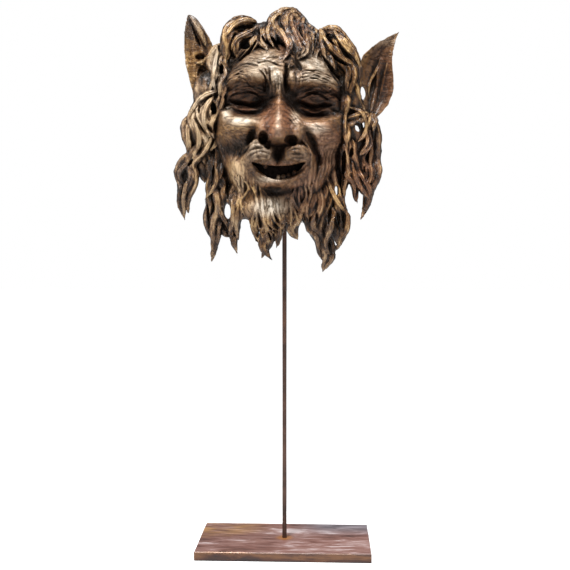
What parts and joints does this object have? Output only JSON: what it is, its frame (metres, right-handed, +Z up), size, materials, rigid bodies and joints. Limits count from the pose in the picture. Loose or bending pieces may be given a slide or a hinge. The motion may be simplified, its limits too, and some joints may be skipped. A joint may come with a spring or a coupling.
{
  "type": "satyr mask on a stand",
  "caption": "Carved wooden mask of a laughing satyr with pointed ears, wavy hair and a beard, hollow behind, held up by a thin rod on a flat steel plate",
  "frame": {"origin": "centre of the base plate's underside, under the rod", "axes": "+Z up, the base plate's long side along X, the mask looks along -Y turned 2.5 degrees towards +X"},
  "size_m": [0.3057, 0.1825, 0.7306],
  "materials": {
    "wood": "dark stained and waxed hardwood, near black in the hollows, rubbed golden brown on the high places",
    "rod_steel": "dark brown patinated steel, satin",
    "base_steel": "rust brown patinated steel under a glossy lacquer, worn pale along its edges"
  },
  "bodies": {
    "root": {"mask": "wood", "rod": "rod_steel", "base": "base_steel"}
  },
  "joints": []
}
